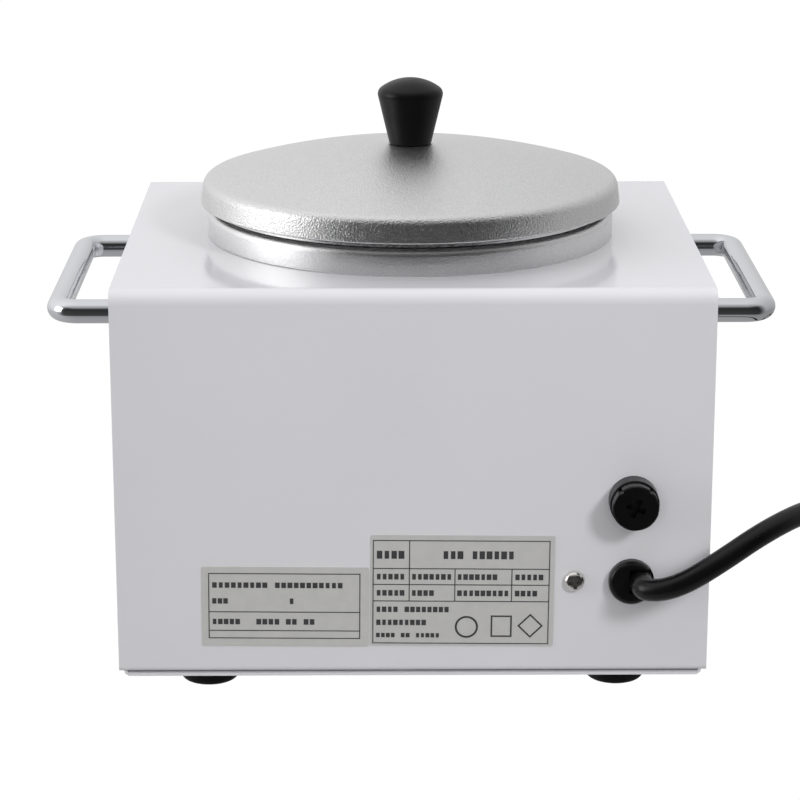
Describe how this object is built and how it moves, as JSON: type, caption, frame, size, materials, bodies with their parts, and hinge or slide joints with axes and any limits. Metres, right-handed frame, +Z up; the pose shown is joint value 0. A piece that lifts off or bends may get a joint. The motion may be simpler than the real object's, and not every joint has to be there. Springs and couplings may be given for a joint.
{
  "type": "wax warmer",
  "caption": "Single-pot wax warmer: white sheet-metal case, round heating well with removable pot, domed aluminium lid with knob, side handles, dial, rear fuse holder and mains lead.",
  "frame": {"origin": "on the table, under the centre of the whole body without its mains lead, coil and plug", "axes": "+Z up; the dial and switch face -Y, the rear panel with the fuse and lead faces +Y; the two handles stand out along X"},
  "size_m": [0.4282, 0.2739, 0.1964],
  "materials": {
    "powder_coat": "smooth glossy white powder coat",
    "chrome": "bright chrome plating",
    "zinc_steel": "zinc-plated steel",
    "aluminium_lid": "fine bead-blasted",
    "aluminium_well": "fine bead-blasted",
    "pot_aluminium": "satin spun",
    "knob_black": "black moulded, satin",
    "rubber_feet": "black rubber",
    "black_plastic": "black moulded nylon",
    "rocker_red": "red translucent moulding",
    "cord_black": "black PVC sheath, satin",
    "plug_black": "moulded black PVC",
    "tie_black": "wire tie",
    "brass_plate": "brass contacts",
    "earth_green": "green sheathed wire",
    "earth_screw": "nickel-plated pan head",
    "label_silver": "silver foil sticker",
    "dial_plate": "printed aluminium plate",
    "pointer_white": "white inlay",
    "lamp_black": "black moulded",
    "lamp_red": "red lens",
    "mica_band": "sheathed mica band",
    "ceramic_white": "glazed ceramic and moulded thermoset",
    "insulation": "glass-fibre felt",
    "shaft_steel": "turned steel",
    "fuse_glass": "clear glass",
    "fuse_metal": "nickel-plated brass"
  },
  "bodies": {
    "case": {"base_nuts": "zinc_steel", "base_screws": "zinc_steel", "chassis": "powder_coat", "check_label": "label_silver", "control_leads": "cord_black", "cord_bushing": "black_plastic", "cover": "powder_coat", "dial_plate": "dial_plate", "earth_lead": "earth_green", "earth_nut": "zinc_steel", "earth_screw": "earth_screw", "earth_terminal": "zinc_steel", "front_left_foot": "rubber_feet", "front_right_foot": "rubber_feet", "fuse_body": "black_plastic", "fuse_nut": "zinc_steel", "handle_screws": "zinc_steel", "heater_band": "mica_band", "heater_clamp": "zinc_steel", "heater_screw": "zinc_steel", "heater_terminal": "ceramic_white", "heating_well": "aluminium_well", "inner_lead": "cord_black", "insulation_pad": "insulation", "insulation_sleeve": "insulation", "lamp_body": "lamp_black", "lamp_lens": "lamp_red", "lead_coil": "cord_black", "lead_tail": "cord_black", "lead_tie": "tie_black", "left_handle": "chrome", "plug_blades": "brass_plate", "plug_body": "plug_black", "power_lead": "cord_black", "rating_label": "label_silver", "rear_left_foot": "rubber_feet", "rear_right_foot": "rubber_feet", "right_handle": "chrome", "switch_housing": "black_plastic", "terminal_block": "ceramic_white", "thermostat_body": "ceramic_white", "thermostat_bulb": "zinc_steel", "thermostat_nut": "zinc_steel", "well_clamp": "zinc_steel"},
    "pot": {"wax_pot": "pot_aluminium", "pot_ears": "pot_aluminium"},
    "bail": {"bail": "chrome"},
    "lid": {"lid": "aluminium_lid", "lid_ring": "aluminium_well", "lid_knob": "knob_black", "lid_washer": "zinc_steel", "lid_screw": "zinc_steel"},
    "dial": {"control_knob": "knob_black", "knob_pointer": "pointer_white", "control_shaft": "shaft_steel"},
    "rocker": {"switch_rocker": "rocker_red"},
    "fuse_carrier": {"fuse_carrier": "black_plastic", "fuse_glass": "fuse_glass", "fuse_end_caps": "fuse_metal"},
    "fuse_cap": {"fuse_cap": "black_plastic"}
  },
  "joints": [
    {"name": "pot_lift", "type": "slide", "parent": "case", "child": "pot", "axis": [0, 0, 1], "range_m": [0, 0.1]},
    {"name": "lid_lift", "type": "slide", "parent": "pot", "child": "lid", "axis": [0, 0, 1], "range_m": [0, 0.16]},
    {"name": "bail_swing", "type": "hinge", "parent": "pot", "child": "bail", "pos_m": [0, 0.0034, 0.1561], "axis": [-1, 0, 0], "range_deg": [0, 90.1]},
    {"name": "dial_turn", "type": "hinge", "parent": "case", "child": "dial", "pos_m": [0, -0.0881, 0.052], "axis": [0, 1, 0], "range_deg": [0, 270]},
    {"name": "rocker_tilt", "type": "hinge", "parent": "case", "child": "rocker", "pos_m": [-0.066, -0.0858, 0.052], "axis": [-1, 0, 0], "range_deg": [0, 14]},
    {"name": "fuse_slide", "type": "slide", "parent": "case", "child": "fuse_carrier", "axis": [0, 1, 0], "range_m": [0, 0.032]},
    {"name": "fuse_twist", "type": "hinge", "parent": "fuse_carrier", "child": "fuse_cap", "pos_m": [-0.0737, 0.0949, 0.0693], "axis": [0, 1, 0], "range_deg": [0, 45]}
  ],
  "couplings": [
    {"joint": "bail_swing", "follows": "lid_lift", "rad_per_m": 9.8175}
  ]
}
